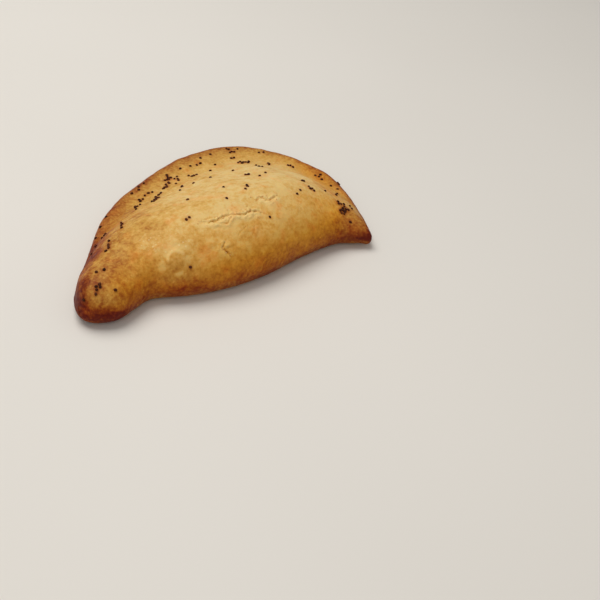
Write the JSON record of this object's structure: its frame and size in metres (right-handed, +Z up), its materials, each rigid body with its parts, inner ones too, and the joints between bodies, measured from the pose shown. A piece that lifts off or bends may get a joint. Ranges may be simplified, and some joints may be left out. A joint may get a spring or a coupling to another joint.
{
  "type": "chicken empanadilla",
  "caption": "Baked half-moon turnover with a full fold, a pressed rim, a drooping tip and poppy seeds on a cracked golden crust, lying flat.",
  "frame": {"origin": "middle of the bounding box, on the surface that the turnover lies on", "axes": "+X from the drooping tip to the far tip, +Y from the fold to the pressed rim, +Z up"},
  "size_m": [0.1615, 0.1029, 0.0315],
  "materials": {
    "crust": "baked dough, matt with a faint glaze"
  },
  "bodies": {
    "root": {"turnover": "crust"}
  },
  "joints": []
}
